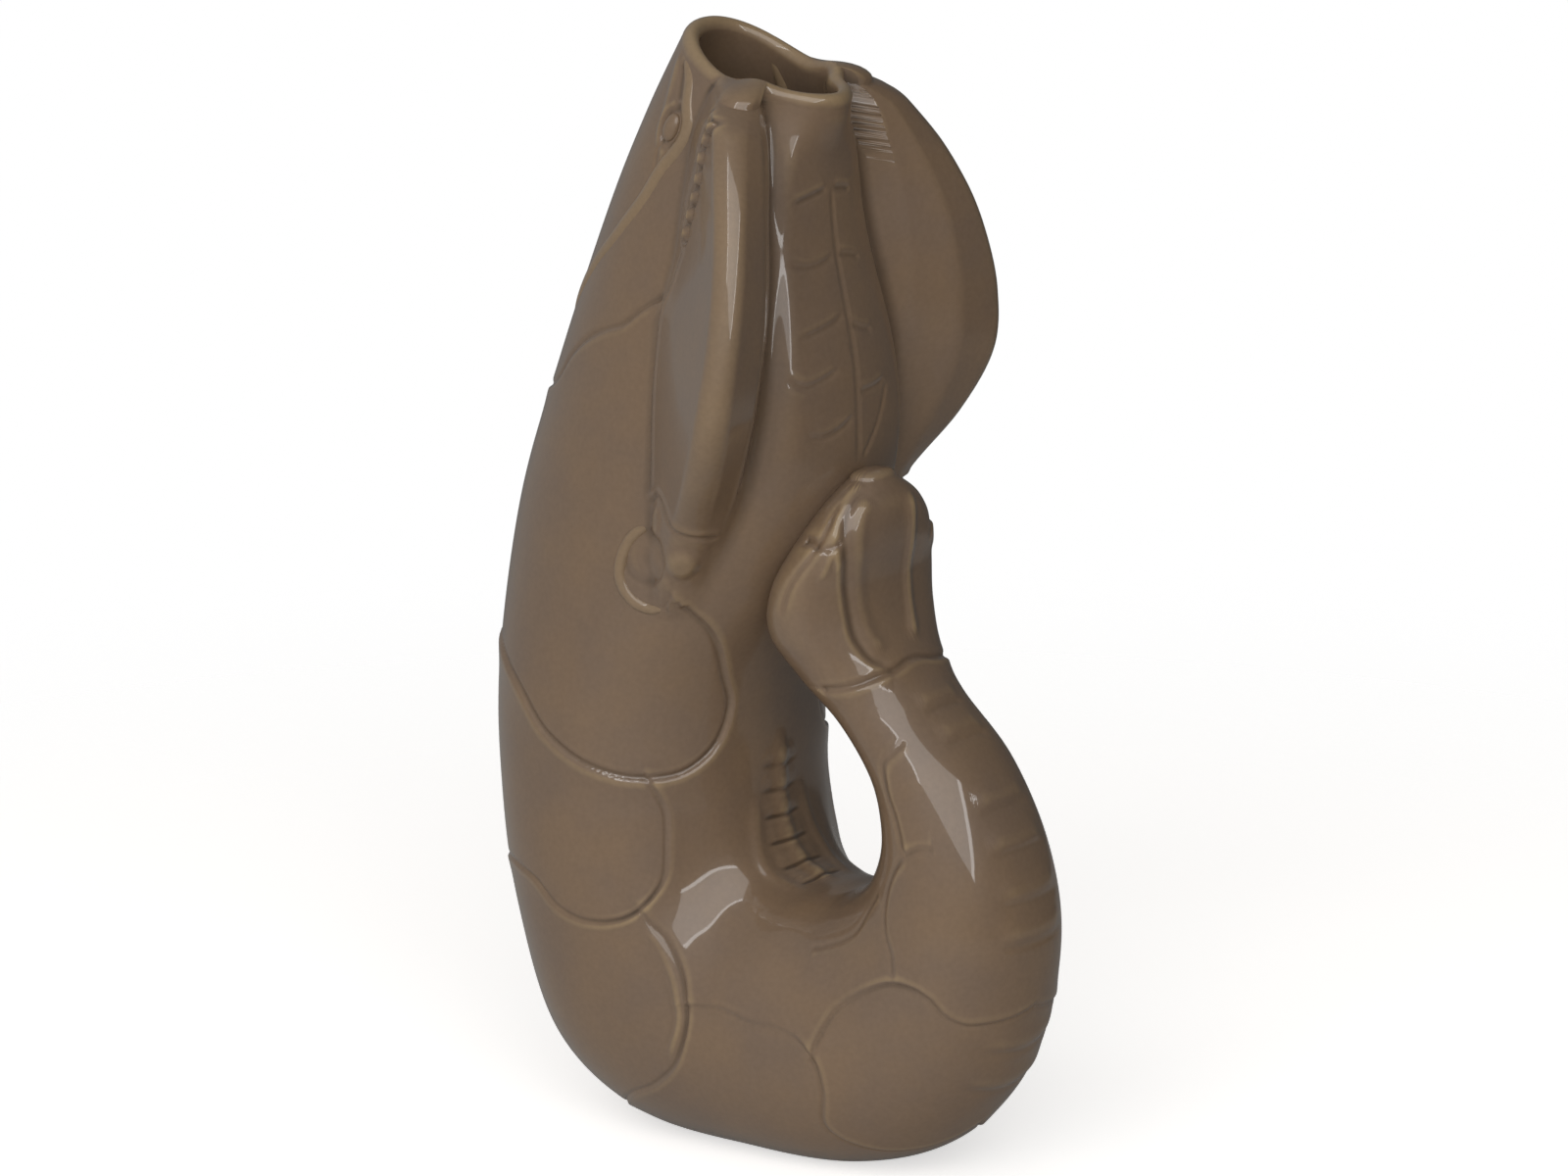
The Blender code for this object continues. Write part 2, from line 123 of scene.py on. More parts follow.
# A claw's cut at a height: root circle x, y, radius, crest circle, front circle
claws = {
    "stations": (
        (0.1460, -0.0080, 0.0330, 0.0050, -0.0060, 0.0345, 0.0040, -0.0060, 0.0330, 0.0050),
        (0.1579, -0.0050, 0.0328, 0.0080, 0.0005, 0.0370, 0.0048, -0.0015, 0.0335, 0.0062),
        (0.1691, -0.0044, 0.0307, 0.0100, 0.0065, 0.0412, 0.0042, 0.0025, 0.0340, 0.0085),
        (0.1844, -0.0026, 0.0277, 0.0125, 0.0165, 0.0497, 0.0035, 0.0065, 0.0355, 0.0095),
        (0.2009, -0.0024, 0.0243, 0.0140, 0.0237, 0.0550, 0.0031, 0.0110, 0.0365, 0.0095),
        (0.2178, -0.0039, 0.0220, 0.0130, 0.0260, 0.0540, 0.0028, 0.0135, 0.0355, 0.0090),
        (0.2330, -0.0019, 0.0202, 0.0115, 0.0253, 0.0507, 0.0027, 0.0146, 0.0340, 0.0080),
        (0.2497, -0.0021, 0.0187, 0.0095, 0.0224, 0.0456, 0.0027, 0.0142, 0.0315, 0.0068),
        (0.2616, -0.0020, 0.0178, 0.0080, 0.0186, 0.0401, 0.0031, 0.0135, 0.0280, 0.0055),
        (0.2731, -0.0014, 0.0178, 0.0050, 0.0132, 0.0325, 0.0036, 0.0117, 0.0250, 0.0045),
        (0.2797, 0.0012, 0.0185, 0.0045, 0.0092, 0.0280, 0.0040, 0.0080, 0.0235, 0.0045),
    ),
    "lowEnd": 0.142,
    "fullFrom": 0.148,
    "lastStation": 8.0,
    "frontBlend": 0.0045,
    "rearBlend": 0.0010,
    "fullness": 0.055,        # swell between crest and front, as a share of that length
    "crestSoft": 0.0018,      # the glaze rounds the crest by this much more
    "tipRound": 0.30,         # stations below the rim over which the tip rounds in
    "tipPower": 2.4,
    "tipShare": 0.84,
    "searchFrom": 0.5,        # the search for a claw's outside starts at this share of the oval
    "searchReach": 0.080,
    "searchSteps": 60,
    "halvings": 12,
    "wristTop": 0.1672,
}


def spline(knots, values, at):
    # cubic through the values; the slope at a knot is that between its two neighbours
    knots = np.asarray(knots, float)
    values = np.asarray(values, float)
    at = np.clip(np.asarray(at, float), knots[0], knots[-1])
    slopes = np.gradient(values, knots, axis=0)
    low = np.clip(np.searchsorted(knots, at, side="right") - 1, 0, len(knots) - 2)
    span = knots[low + 1] - knots[low]
    t = (at - knots[low]) / span
    if values.ndim > 1:
        t = t[..., None]
        span = span[..., None]
    start = (1 + 2 * t) * (1 - t) ** 2 * values[low] + t * (1 - t) ** 2 * span * slopes[low]
    return start + t ** 2 * (3 - 2 * t) * values[low + 1] - t ** 2 * (1 - t) * span * slopes[low + 1]


def smooth(low, high, value):
    t = np.clip((value - low) / (high - low), 0, 1)
    return t * t * (3 - 2 * t)


def cutAt(station):
    # middle of the cut, its direction from back to belly, half depth and half width
    table = np.array(vessel["stations"])
    c = spline(np.arange(len(table)), table, station)
    middle = (c[..., 0:2] + c[..., 2:4]) / 2
    across = (c[..., 2:4] - c[..., 0:2]) / 2
    depth = np.linalg.norm(across, axis=-1)
    return middle, across / depth[..., None], depth, c[..., 4]


def oval(angle, depth, width):
    # superellipse: radius r with |r cos a / depth|^p + |r sin a / width|^p = 1
    p = vessel["roundness"]
    return ((np.abs(np.cos(angle)) / depth) ** p + (np.abs(np.sin(angle)) / width) ** p) ** (-1 / p)


def toBar(px, py, ax, ay, ra, bx, by, rb):
    # distance from a point to the hull round two circles, negative inside
    length = np.hypot(bx - ax, by - ay)
    ux, uy = (bx - ax) / length, (by - ay) / length
    side = np.abs((px - ax) * uy - (py - ay) * ux)
    along = (px - ax) * ux + (py - ay) * uy
    lean = (ra - rb) / length
    rise = np.sqrt(np.maximum(1 - lean ** 2, 1e-9))
    k = along * rise - side * lean
    return np.where(k < 0, np.hypot(side, along) - ra,
                    np.where(k > rise * length, np.hypot(side, along - length) - rb,
                             side * rise + along * lean - ra))


def clawRadius(middle, base, angle):
    # radius where the smooth union of the oval and the claw's three circles ends, found by halving
    table = np.array(claws["stations"])
    w = spline(table[:, 0], table[:, 1:], middle[..., 1])
    root, crest, front = w[..., 0:3], w[..., 3:6], w[..., 6:9]
    inward = root[..., 0:2] - crest[..., 0:2]
    inward *= claws["crestSoft"] / np.linalg.norm(inward, axis=-1, keepdims=True)
    crest = np.concatenate([crest[..., 0:2] + inward, crest[..., 2:3] + claws["crestSoft"]], -1)
    crestAngle = np.arctan2(crest[..., 1], crest[..., 0] - middle[..., 0])
    k = np.where(angle < crestAngle, claws["frontBlend"], claws["rearBlend"])
    reach = front[..., 0:2] - crest[..., 0:2]
    swell = (crest + front) / 2 + claws["fullness"] * np.stack(
        [-reach[..., 1], reach[..., 0], np.linalg.norm(reach, axis=-1)], -1)
    root, crest, front, swell = [np.moveaxis(c, -1, 0) for c in (root, crest, front, swell)]
    sides = ((root, crest), (front, swell), (swell, crest), (root, front))

    def outside(r):
        px, py = middle[..., 0] + r * np.cos(angle), r * np.sin(angle)
        d1 = r - base
        d2 = np.min([toBar(px, py, *a, *b) for a, b in sides], axis=0)
        h = np.maximum(k - np.abs(d1 - d2), 0) / k
        return np.minimum(d1, d2) - h * h * k / 4 > 0

    # the outermost place where the ray leaves the shape, first in steps and then by halving
    start = base * claws["searchFrom"]
    step = (claws["searchReach"] - start) / claws["searchSteps"]
    low = start
    for turn in range(claws["searchSteps"]):
        low = np.where(outside(start + step * turn), low, start + step * turn)
    high = low + step
    for turn in range(claws["halvings"]):
        r = (low + high) / 2
        out = outside(r)
        low, high = np.where(out, low, r), np.where(out, r, high)
    return (low + high) / 2


def mouthShape(station, angle):
    # the mouth narrows to a soft corner at the belly line
    turn = np.degrees(angle)
    corner = mouth["corner"] * np.exp(-(turn / mouth["cornerSpan"]) ** 2)
    corner = corner - mouth["narrow"] * np.exp(-((turn - mouth["narrowAngle"]) / mouth["narrowSpan"]) ** 2)
    return corner * (1 - smooth(*mouth["fade"], station))


def sink(station, angle):
    # how far the rim dips beside the mouth, and less at the claws
    turn = np.degrees(angle)
    keep = 1 - mouth["clawKeep"] * np.exp(-((turn - vessel["knobAngle"]) / mouth["clawSpan"]) ** 2)
    return vessel["rimDip"] * keep * np.sin(angle) ** 2 * np.clip(1 - station, 0, 1) ** 2


def skin(station, angle):
    # point of the outer skin; angle is 0 at the belly line and pi at the back line
    middle, across, depth, width = cutAt(station)
    base = oval(angle, depth, width)
    notch = vessel["notch"]
    dip = np.exp(-((station - notch["station"]) / notch["length"]) ** 2
                 - ((angle - np.radians(notch["degrees"])) / notch["spread"]) ** 2)
    base = base * (1 - notch["depth"] * dip) + mouthShape(station, angle)
    flat = (depth - mouth["bellySink"]) / np.maximum(np.cos(angle), 0.5) - base
    flat = flat * (1 - smooth(*np.radians(mouth["flatSides"]), angle))
    flat = mouth["bellyFlat"] * flat * smooth(*mouth["flatStart"], station)
    base = base + flat * (1 - smooth(*mouth["flatEnd"], station))
    withClaw = (station < claws["lastStation"]) & (middle[..., 1] > claws["lowEnd"])
    r = base.copy()
    if withClaw.any():
        full = clawRadius(middle[withClaw], base[withClaw], angle[withClaw])
        fade = smooth(claws["lowEnd"], claws["fullFrom"], middle[withClaw][:, 1])
        up = np.clip(1 - (station[withClaw] - vessel["rimStation"]) / claws["tipRound"], 0, 1)
        fade = fade * (1 - (claws["tipShare"] * up) ** claws["tipPower"]) ** (1 / claws["tipPower"])
        r[withClaw] = base[withClaw] + (full - base[withClaw]) * fade
    points = place(middle, across, angle, r)
    points[..., 2] -= sink(station, angle)
    points[..., 2] = np.maximum(points[..., 2], 0)
    return points, r, base


def place(middle, across, angle, r):
    out = r * np.cos(angle)
    return np.stack([middle[..., 0] + across[..., 0] * out, r * np.sin(angle),
                     middle[..., 1] + across[..., 1] * out], -1)


def gridNormals(points, wrap):
    # direction square to the grid, from the differences between neighbours
    down = np.gradient(points, axis=0)
    if wrap:
        along = np.roll(points, -1, 1) - np.roll(points, 1, 1)
    else:
        along = np.gradient(points, axis=1)
    normals = np.cross(down, along)
    length = np.linalg.norm(normals, axis=-1, keepdims=True)
    return normals / np.maximum(length, 1e-15)


# Rows a set step apart on the longest of the belly, side and back lines
fineStations = np.linspace(vessel["rimStation"], len(vessel["stations"]) - 1, 4001)
lengths = []
for degrees in (0, 90, 180):
    line = skin(fineStations, np.full_like(fineStations, np.radians(degrees)))[0]
    lengths.append(np.linalg.norm(np.diff(line, axis=0), axis=1))
dense = vessel["rimDense"] * (1 - smooth(*vessel["denseFade"], fineStations[1:]))
steps = np.max(lengths, axis=0) * (1 + dense)
travelled = np.concatenate([[0], np.cumsum(steps)])
rowCount = int(travelled[-1] / vessel["rowStep"])
rowStations = np.interp(np.linspace(0, travelled[-1], rowCount), travelled, fineStations)

# Columns equally spaced along the outline of each cut, claws included. They are worked out for every
# row at the rim and fewer further down, and the rows between follow
keyRows = np.concatenate([np.arange(0, 100), np.arange(100, 200, 4),
                          np.linspace(200, rowCount - 1, 120).astype(int)])
keyStations = rowStations[keyRows]
manyAngles = np.linspace(0, np.pi, 1601)
keyGrid = np.meshgrid(keyStations, manyAngles, indexing="ij")
outline = skin(*keyGrid)[0]
outline[..., 2] = place(*cutAt(keyGrid[0])[:2], keyGrid[1], 0 * keyGrid[1])[..., 2]
spacing = np.linalg.norm(np.diff(outline, axis=1), axis=2) + 2e-5
share = np.concatenate([np.zeros((len(keyStations), 1)), np.cumsum(spacing, axis=1)], axis=1)
share /= share[:, -1:]
even = np.linspace(0, 1, vessel["columns"] + 1)
keyAngles = np.array([np.interp(even, row, manyAngles) for row in share])
angles = np.array([np.interp(rowStations, keyStations, keyAngles[:, j]) for j in range(len(even))]).T
stations = np.repeat(rowStations[:, None], len(even), axis=1)
halfSkin, radius, bareRadius = skin(stations, angles)
halfNormals = -gridNormals(halfSkin, False)
if halfNormals[rowCount // 3, len(even) // 2, 1] < 0:
    halfNormals = -halfNormals
shift = frameLow.x - halfSkin[..., 0].min()
print("skin laid out,", rowCount, "rows")

# Relief: every line is a path of (station, degrees from the belly line) on the skin. The near side is
# the lobster's right one, which the camera sees
relief = {"near": np.zeros_like(angles), "far": np.zeros_like(angles)}


def onSkin(path, step=0.0004):
    # a smooth path through the points, as places on the skin about one step apart
    path = np.array(path, float)
    ends = skin(path[:, 0], np.radians(path[:, 1]))[0]
    knots = np.concatenate([[0], np.cumsum(np.maximum(np.linalg.norm(np.diff(ends, axis=0), axis=1), 1e-4))])
    at = np.linspace(0, knots[-1], max(int(knots[-1] / step), 3))
    both = spline(knots, path, at)
    return skin(both[:, 0], np.radians(both[:, 1]))[0], at / knots[-1]


def measure(path, reach):
    # for each grid point within reach: which, signed distance to the path, share of the path
    line, share = onSkin(path)
    low, high = line.min(0) - reach, line.max(0) + reach
    near = np.all((halfSkin > low) & (halfSkin < high), axis=-1)
    rows, cols = np.nonzero(near)
    points, normals = halfSkin[rows, cols], halfNormals[rows, cols]
    best = np.empty(len(points), int)
    for start in range(0, len(points), 20000):
        part = points[start:start + 20000]
        gaps = ((part ** 2).sum(1)[:, None] - 2 * part @ line.T + (line ** 2).sum(1)[None])
        best[start:start + 20000] = gaps.argmin(1)
    tangent = np.gradient(line, axis=0)
    tangent /= np.linalg.norm(tangent, axis=1, keepdims=True)
    away = points - line[best]
    distance = np.linalg.norm(away, axis=1)
    side = np.sign((np.cross(normals, tangent[best]) * away).sum(1))
    keep = distance < reach
    return (rows[keep], cols[keep]), (distance * np.where(side == 0, 1, side))[keep], share[best][keep]


def carve(path, profile, sides=("near", "far"), reach=0.006, fade=0.0, fadeEnd=None):
    # adds profile(signed distance) along the path, faded at its ends
    where, distance, share = measure(path, reach)
    height = profile(distance)
    for length, along in ((fade, share), (fade if fadeEnd is None else fadeEnd, 1 - share)):
        if length:
            height = height * smooth(0, length, along)
    for side in sides:
        relief[side][where] += height


def waves(*terms):
    # sum of bell curves, each with a height (below 0 for a cut), a width and a place
    return lambda d: sum(height * np.exp(-((d - place) / width) ** 2) for height, width, place in terms)


def mound(height, top, foot, *rings):
    # a dome, flat up to q = top and gone at q = foot, with bell curves round it
    ring = waves(*rings)
    return lambda q: height * (1 - smooth(top, foot, q)) + ring(q)


def plateEdge(depth, width, lift, run, sign=1):
    # a cut line, with the plate on one side lifted at its edge and sinking back over the run
    def profile(d):
        inside = np.maximum(sign * d, 0)
        rise = lift * smooth(0.2 * width, 2.2 * width, inside) * np.exp(-(inside / run) ** 2)
        return rise - depth * np.exp(-(d / width) ** 2)
    return profile


def localFrame(center, along):
    # a place on the skin, the direction of the path given, the one across it, the normal, and how far
    # every point of the skin lies from the place
    spots = np.array([center, (center[0] + along[0] * 0.02, center[1] + along[1] * 0.02)])
    middle, ahead = skin(spots[:, 0], np.radians(spots[:, 1]))[0]
    gaps = np.linalg.norm(halfSkin - middle, axis=-1)
    normal = halfNormals.reshape(-1, 3)[np.argmin(gaps)]
    u = ahead - middle
    u -= normal * (u @ normal)
    u /= np.linalg.norm(u)
    return middle, u, np.cross(normal, u), normal, gaps


def boss(center, along, halfLength, halfWidth, profile):
    # adds profile(q) round a centre, where q is 1 on an ellipse laid along the path direction given
    middle, u, v, normal, gaps = localFrame(center, along)
    rows, cols = np.nonzero(gaps < 2 * max(halfLength, halfWidth))
    away = halfSkin[rows, cols] - middle
    q = np.hypot(away @ u / halfLength, away @ v / halfWidth)
    facing = smooth(0.0, 0.4, halfNormals[rows, cols] @ normal)
    for side in relief:
        relief[side][rows, cols] += profile(q) * facing


# An edge is the depth and width of its cut, the plate's lift, its run, and the side that is lifted. A
# form is one or more bell curves of height, width and place
shellPlates = {
    "carapace": ((4.66, 181), (4.80, 150), (4.92, 122), (5.09, 107), (5.43, 91), (5.67, 76), (5.81, 60),
                 (5.79, 43), (5.56, 32), (5.20, 27.5), (4.94, 32), (4.60, 41.5), (4.43, 52)),
    "first": ((6.60, 181), (6.58, 140), (6.64, 113.5), (6.79, 102.5), (7.13, 93.5), (7.37, 83), (7.53, 65),
              (7.28, 55), (6.69, 51.5), (6.28, 51), (5.86, 56)),
    "second": ((8.70, 181), (8.85, 150), (9.04, 125.5), (9.28, 113), (9.44, 98), (9.27, 76.5), (8.93, 66.5),
               (8.19, 59.5), (7.58, 63.5)),
    "secondRim": ((9.36, 101), (9.19, 78.5), (8.83, 69), (8.13, 62.5), (7.66, 65)),
    "third": ((12.37, 181), (11.91, 163), (11.48, 145), (11.21, 124.5), (11.38, 106), (11.36, 94.5),
              (11.08, 82.5), (10.74, 78.7), (10.31, 78), (9.68, 74.5), (9.27, 75.5)),
    "fourth": ((13.65, 181), (13.50, 152), (13.37, 134), (13.35, 125), (13.37, 113), (13.31, 103),
               (13.09, 89.5), (12.46, 77), (11.88, 76.5), (11.61, 82), (11.38, 90)),
    "carapaceEdge": (0.0006, 0.0007, 0.0007, 0.0055),
    "edge": (0.00040, 0.00050, 0.00045, 0.0040),
    "rimForm": (0.0005, 0.0010, 0.0),
}
carve(shellPlates["carapace"], plateEdge(*shellPlates["carapaceEdge"]), reach=0.012)
for name in ("first", "second", "third", "fourth"):
    carve(shellPlates[name], plateEdge(*shellPlates["edge"]), reach=0.011)
carve(shellPlates["secondRim"], waves(shellPlates["rimForm"]), fade=0.15)
print("shell plates carved")

head = {
    "neckGroove": ((2.43, 85), (2.52, 94.5), (2.65, 104.5), (2.70, 113), (2.78, 122), (2.95, 133),
                   (3.11, 138), (3.25, 158), (3.28, 181)),
    "clawSeam": ((0.10, 74), (0.39, 78.3), (0.59, 81), (0.80, 80.2), (1.01, 78), (1.24, 78.3), (1.53, 80),
                 (1.79, 78), (1.96, 76.5), (2.02, 74), (2.17, 75.8), (2.34, 78.5), (2.43, 81), (2.55, 82.4),
                 (2.69, 82), (2.89, 81.5), (3.16, 79), (3.48, 75), (3.71, 72.5)),
    "browGroove": ((0.10, 133), (0.30, 124.5), (0.55, 115.5), (0.72, 110)),
    "browRidge": ((0.08, 143), (0.30, 134), (0.60, 125), (0.90, 119.5), (1.10, 117)),
    "tearDrop": ((0.62, 119), (0.86, 118.5), (1.04, 114.5), (1.25, 113.5), (1.44, 109.5), (1.30, 107.5),
                 (1.10, 105), (0.98, 103.5)),
    "eye": (0.87, 110.2),
    "teeth": ((0.38, 71.8), (0.62, 73.0), (0.88, 72.6), (1.14, 71.2), (1.40, 71.2), (1.66, 72.2),
              (1.87, 73.2)),
    "toothHalf": (0.0026, 0.0015),  # length and width
    "socketHalf": (0.0046, 0.0032),
    "eyeLie": (1, -4),  # stations and degrees along the eye
    "neckEdge": (0.00055, 0.0008, 0.0004, 0.005, -1),
    "seamForm": ((0.0004, 0.0006, -0.0006), (-0.00045, 0.0005, 0.0003)),
    "browCut": (-0.0006, 0.0011, 0.0),
    "browSwell": (0.00045, 0.0012, 0.0),
    "tearCut": (-0.00045, 0.0005, 0.0),
    "toothForm": (0.0012, 0.45, 1.0, (-0.0006, 0.22, 1.15)),
    "socketForm": ((-0.0005, 0.2, 1.02), (0.0003, 0.2, 1.42)),
}
carve(head["neckGroove"], plateEdge(*head["neckEdge"]), reach=0.010)
carve(head["clawSeam"], waves(*head["seamForm"]), reach=0.004, fade=0.03)
carve(head["browGroove"], waves(head["browCut"]), fade=0.2)
carve(head["browRidge"], waves(head["browSwell"]), fade=0.25)
carve(head["tearDrop"], waves(head["tearCut"]), fade=0.1)
teeth = head["teeth"]
for index, tooth in enumerate(teeth):
    other = teeth[index + 1] if index + 1 < len(teeth) else teeth[index - 1]
    boss(tooth, (other[0] - tooth[0], other[1] - tooth[1]), *head["toothHalf"], mound(*head["toothForm"]))
boss(head["eye"], head["eyeLie"], *head["socketHalf"], waves(*head["socketForm"]))
print("head carved")

arm = {
    "cut": ((3.78, 72), (3.70, 69.5), (3.72, 66.5), (3.79, 64), (3.87, 61), (3.91, 57), (3.93, 52),
            (3.95, 47)),
    "cutForm": ((-0.0006, 0.0006, 0.0), (0.0003, 0.0008, -0.0014)),
    # place, direction, half length, half width and form of each mound
    "lobe": ((3.87, 67.3), (1, -3), 0.0050, 0.0026, (0.0007, 0.5, 1.05)),
    "disc": ((4.13, 69.0), (1, 0), 0.0062, 0.0055, (0.0005, 0.5, 1.0, (-0.0004, 0.12, 1.1))),
    "cuff": ((4.13, 56.0), (1, 0), 0.0055, 0.0050, (0.0009, 0.35, 1.0)),
}
carve(arm["cut"], waves(*arm["cutForm"]), fade=0.06)
for name in ("lobe", "disc", "cuff"):
    boss(*arm[name][:4], mound(*arm[name][4]))
print("arms carved")

belly = {
    "midLine": ((1.24, 0.4), (1.8, 0.4), (2.4, 0.4), (3.0, 0.4), (3.55, 0.4)),
    "nearCreases": (
        ((1.44, 28), (1.36, 18), (1.30, 10), (1.25, 3)),
        ((2.08, 29), (2.13, 21), (2.12, 11), (2.07, 1.5)),
        ((2.62, 27), (2.58, 17), (2.55, 10), (2.50, 2)),
        ((2.85, 32), (2.92, 24), (2.89, 16), (2.84, 8)),
        ((3.26, 24), (3.30, 17), (3.27, 10), (3.18, 1)),
    ),
    "farCreases": (
        ((1.27, 1), (1.30, 9), (1.36, 17)),
        ((2.07, 1), (2.10, 9), (2.15, 17)),
        ((2.57, 1), (2.61, 6), (2.65, 14)),
        ((3.03, 1), (3.03, 7), (3.00, 17)),
    ),
    "farDiamond": ((3.02, 18), (3.22, 13.5), (3.38, 8), (3.52, 2)),
    "holeRibs": (6.00, 6.36, 6.84, 7.42, 8.20, 9.05),
    "ribSpan": 12.5,
    "holeKeel": ((5.5, 0.2), (6.5, 0.2), (7.5, 0.2), (8.5, 0.2), (9.8, 0.2)),
    "holeRidge": ((6.2, 13.0), (6.7, 14.5), (7.2, 16.0), (7.8, 16.5), (8.6, 15), (9.6, 13)),
    "dent": (7.95, 40.0),
    "dentHalf": (0.014, 0.010),
    "dentDepth": 0.0013,
    "midForm": (-0.0004, 0.0006, 0.0),
    "nearForm": ((-0.00045, 0.0009, 0.0004), (0.0002, 0.0011, -0.0013)),
    "farForm": ((-0.00045, 0.0009, -0.0004), (0.0002, 0.0011, 0.0013)),
    "diamondForm": (-0.0005, 0.0007, 0.0),
    "ribForm": ((-0.0003, 0.0007, 0.0), (0.0003, 0.0020, 0.0026)),
    "keelForm": (0.0011, 0.0024, 0.0),
    "ridgeForm": (0.0006, 0.0022, 0.0),
}
carve(belly["midLine"], waves(belly["midForm"]), fade=0.06)
for crease in belly["nearCreases"]:
    carve(crease, waves(*belly["nearForm"]), ("near",), fade=0.22)
for crease in belly["farCreases"]:
    carve(crease, waves(*belly["farForm"]), ("far",), fade=0.2)
carve(belly["farDiamond"], waves(belly["diamondForm"]), ("far",), fade=0.1)
for station in belly["holeRibs"]:
    span = belly["ribSpan"]
    carve(((station, 0.3), (station - 0.02, span * 0.4), (station - 0.06, span)), waves(*belly["ribForm"]),
          reach=0.008, fadeEnd=0.45)
carve(belly["holeKeel"], waves(belly["keelForm"]), reach=0.009, fade=0.15)
carve(belly["holeRidge"], waves(belly["ridgeForm"]), reach=0.008, fade=0.25)
boss(belly["dent"], (1, 0), *belly["dentHalf"], lambda q: -belly["dentDepth"] * np.exp(-1.3 * q ** 2))
print("belly carved")

tail = {
    "rings": (12.82, 13.24, 14.26, 14.68, 15.19, 15.63, 16.45, 16.91),
    "ringPath": ((-0.05, 144), (-0.02, 155), (0.0, 168), (0.0, 181)),  # from the ring's station
    "ringForm": ((-0.00040, 0.0012, 0.0), (0.0005, 0.0028, -0.0036)),
    "sideLines": (
        ((16.60, 118), (16.50, 107), (16.32, 92), (15.92, 82.5), (15.41, 81.6), (14.88, 82.7)),
        ((14.88, 82.7), (14.51, 72), (14.12, 65), (13.63, 64.5), (13.43, 69.7), (13.32, 80), (13.10, 89)),
        ((14.90, 83), (15.10, 96), (15.18, 108)),
        ((13.69, 53), (13.15, 47.5), (12.61, 48), (11.88, 45), (11.14, 44.5)),
    ),
    "sideEdge": (0.00022, 0.0008, 0.00020, 0.004, -1),
}
for station in tail["rings"]:
    carve([(station + ahead, degrees) for ahead, degrees in tail["ringPath"]], waves(*tail["ringForm"]),
          reach=0.010, fade=0.5, fadeEnd=0.0)
for line in tail["sideLines"]:
    carve(line, plateEdge(*tail["sideEdge"]), reach=0.009, fade=0.06)
print("tail carved")

# The fan: a middle plate with raised borders between two side plates of two lobes each
fan = {
    "joint": ((17.77, 90), (17.75, 106), (17.84, 131), (17.93, 152), (18.03, 170), (18.05, 181)),
    "border": ((22.70, 128), (22.53, 114), (22.07, 107), (21.42, 110.5), (20.67, 118), (20.02, 123),
               (19.29, 127.5), (18.70, 129), (18.22, 135), (17.98, 150)),
    "borderCrest": ((22.45, 127), (22.07, 119), (21.42, 121), (20.67, 127), (20.02, 132), (19.29, 137),
                    (18.70, 141), (18.30, 150)),
    "farCrest": ((22.45, 139), (22.11, 143.9), (21.06, 151.8), (20.3, 154.5), (19.59, 156), (18.9, 160),
                 (18.3, 167)),
    "lobeLine": ((21.22, 84), (21.20, 92), (21.10, 99.5), (21.10, 106), (21.24, 109.5)),
    "edgeLine": ((22.45, 98), (22.0, 96.5), (21.5, 97.5), (20.86, 96), (20.52, 94), (20.0, 92), (19.4, 91)),
    "sideRib": ((20.2, 106), (20.6, 107), (20.95, 108), (20.7, 112), (20.4, 115.5)),
    "jointEdge": (0.0006, 0.0008, 0.0005, 0.004),
    "borderEdge": (0.00022, 0.0013, 0.0008, 0.0060),
    "nearForm": (0.0006, 0.0024, 0.0),
    "farForm": (0.0010, 0.0021, 0.0),
    "lobeForm": (-0.0005, 0.0009, 0.0),
    "edgeForm": (-0.0003, 0.0009, 0.0),
    "ribForm": (0.0004, 0.0012, 0.0),
}
carve(fan["joint"], plateEdge(*fan["jointEdge"]), reach=0.009)
carve(fan["border"], plateEdge(*fan["borderEdge"]), ("near",), reach=0.012, fade=0.08)
carve(fan["borderCrest"], waves(fan["nearForm"]), ("near",), reach=0.009, fade=0.10)
carve(fan["farCrest"], waves(fan["farForm"]), ("far",), reach=0.009, fade=0.12)
carve(fan["lobeLine"], waves(fan["lobeForm"]), fade=0.05)
carve(fan["edgeLine"], waves(fan["edgeForm"]), fade=0.15)
carve(fan["sideRib"], waves(fan["ribForm"]), fade=0.25)
print("fan carved")

# The rim arches inwards from the skin's first row: its outer half spans a claw's tip, its inner half
# is a roll of even width
across = cutAt(stations[0])[1]
upward = np.stack([-across[..., 1], 0 * angles[0], across[..., 0]], -1)
outward = np.stack([across[..., 0] * np.cos(angles[0]), np.sin(angles[0]),
                    across[..., 1] * np.cos(angles[0])], -1)
rimWidth = radius[0] - bareRadius[0] + vessel["rimWidth"]
knob = np.exp(-((np.degrees(angles[0]) - vessel["knobAngle"]) / vessel["knobSpan"]) ** 2)
height = vessel["rimHeight"] + vessel["knobHeight"] * knob
roll = vessel["rimWidth"] / 2
arch = []
for t in np.linspace(0, np.pi, vessel["rimRows"] + 2)[1:-1]:
    inset = (rimWidth - roll) * (1 - np.cos(t)) if t < np.pi / 2 else rimWidth - roll - roll * np.cos(t)
    arch.append(upward * (height * np.sin(t))[:, None] - outward * inset[:, None])

